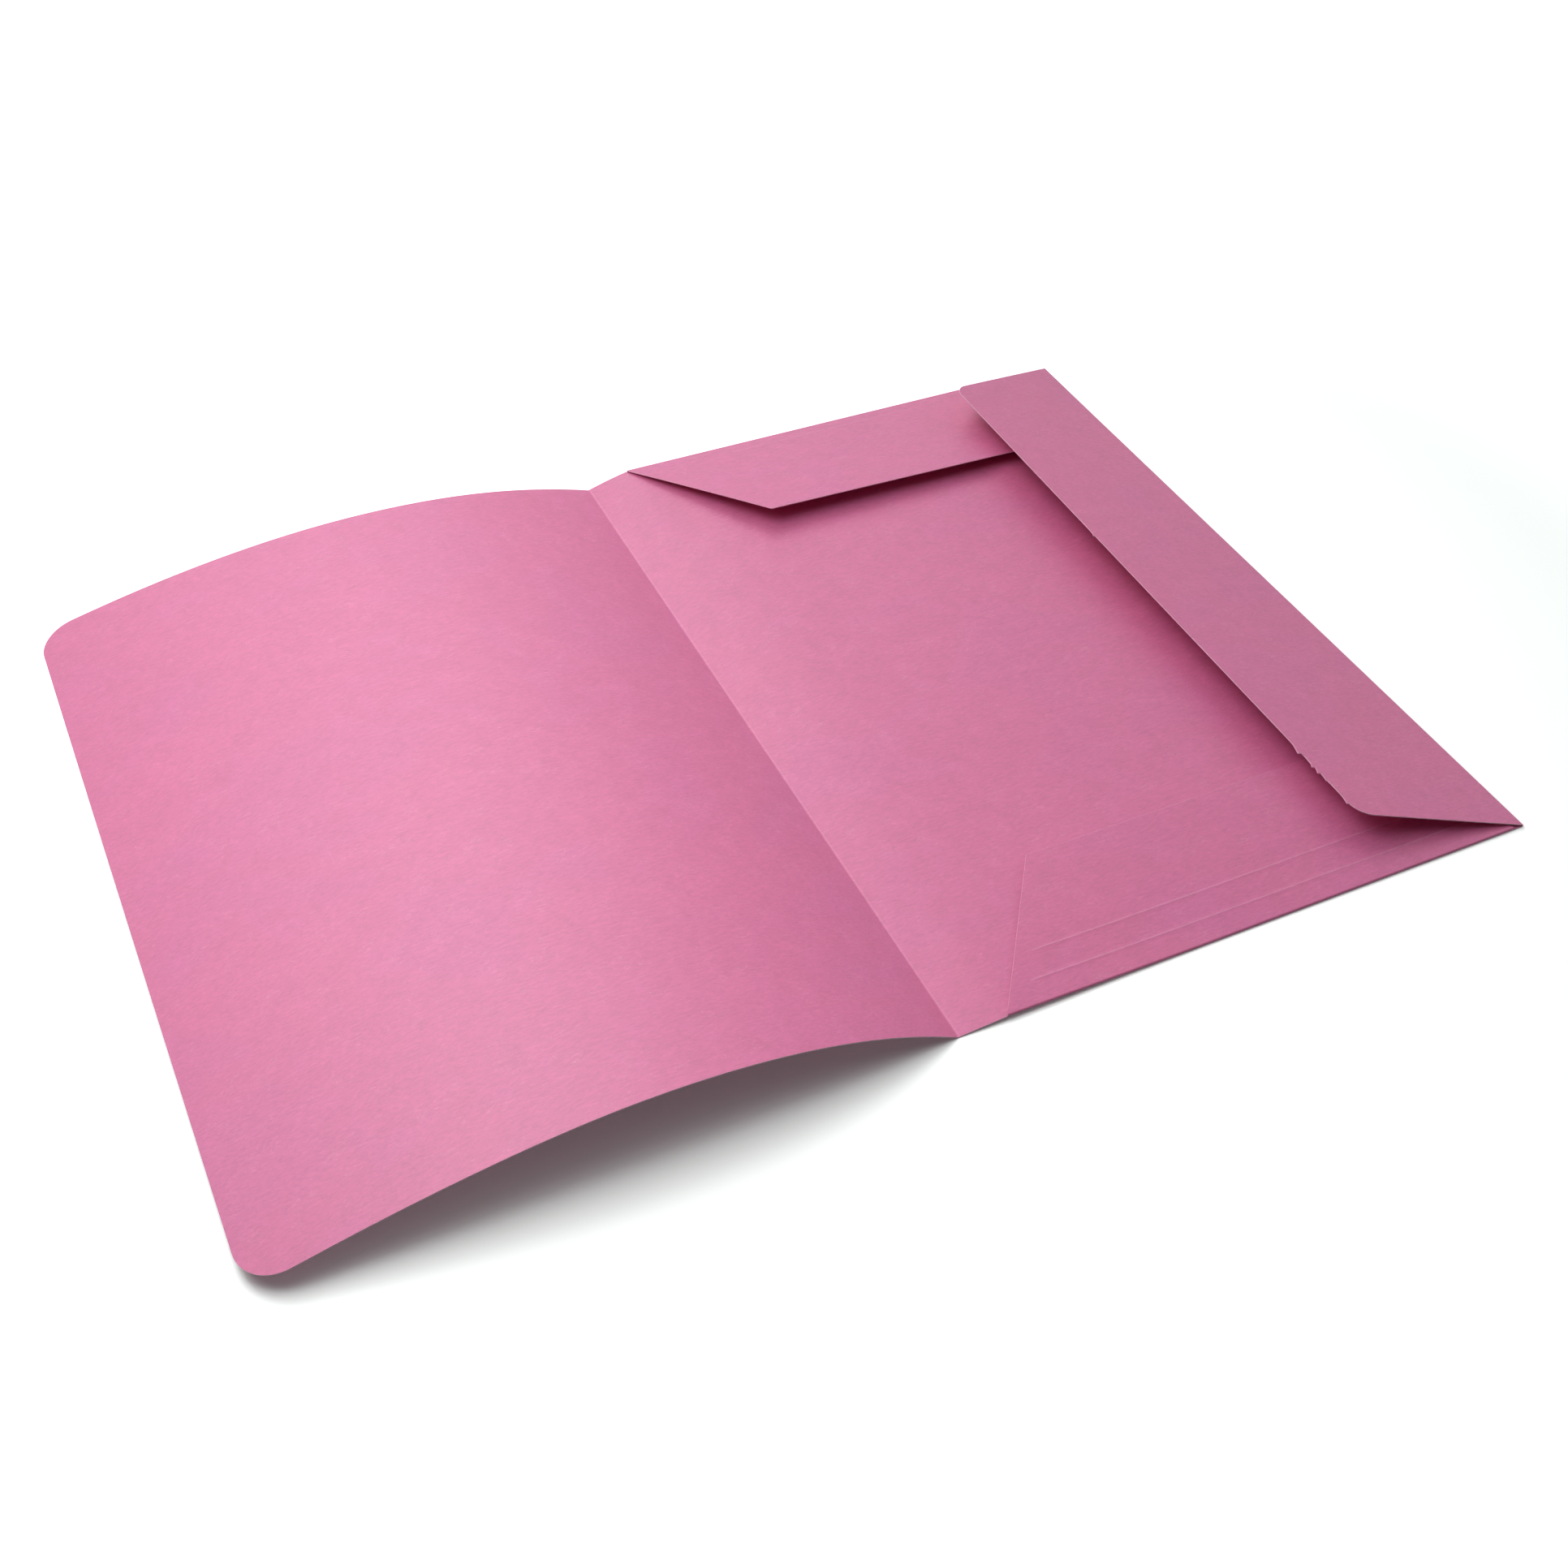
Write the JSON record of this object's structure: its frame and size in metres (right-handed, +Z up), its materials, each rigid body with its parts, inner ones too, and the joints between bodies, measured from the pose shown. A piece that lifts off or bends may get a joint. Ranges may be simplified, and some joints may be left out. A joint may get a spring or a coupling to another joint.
{
  "type": "three flap folder",
  "caption": "Open card document folder: a bowed front cover creased to a back panel, with top, bottom and side flaps folded in to hold loose sheets.",
  "frame": {"origin": "centre of the open folder's footprint, on the table", "axes": "+X from the front cover across the spine to the side flap, +Y towards the top flap, +Z up from the table"},
  "size_m": [0.4396, 0.32, 0.0252],
  "materials": {
    "pink_card": "matt dyed card, about 300 g/m2, with fine fibres"
  },
  "bodies": {
    "back": {"back_panel": "pink_card", "spine_crease": "pink_card", "top_crease": "pink_card", "bottom_crease": "pink_card", "side_crease": "pink_card"},
    "cover": {"front_cover": "pink_card"},
    "top_leaf": {"top_flap": "pink_card"},
    "bottom_leaf": {"bottom_flap": "pink_card"},
    "side_leaf": {"side_flap": "pink_card"}
  },
  "joints": [
    {"name": "spine_fold", "type": "hinge", "parent": "back", "child": "cover", "pos_m": [0.00277, 0, 0.0004], "axis": [0, 1, 0], "range_deg": [0, 158], "deforming": ["front_cover", "spine_crease"]},
    {"name": "side_flap_fold", "type": "hinge", "parent": "back", "child": "side_leaf", "pos_m": [0.21922, 0, 0.0006], "axis": [0, 1, 0], "range_deg": [0, 164], "deforming": ["side_crease"]},
    {"name": "top_flap_fold", "type": "hinge", "parent": "back", "child": "top_leaf", "pos_m": [0.11792, 0.15945, 0.0027], "axis": [-0.9998, 0, 0.0209], "range_deg": [0, 164], "deforming": ["top_crease"]},
    {"name": "bottom_flap_fold", "type": "hinge", "parent": "back", "child": "bottom_leaf", "pos_m": [0.11792, -0.15945, 0.00079], "axis": [1, 0, -0.0053], "range_deg": [0, 164], "deforming": ["bottom_crease"]}
  ],
  "couplings": [
    {"joint": "top_flap_fold", "follows": "side_flap_fold", "ratio": 1},
    {"joint": "bottom_flap_fold", "follows": "side_flap_fold", "ratio": 1}
  ]
}
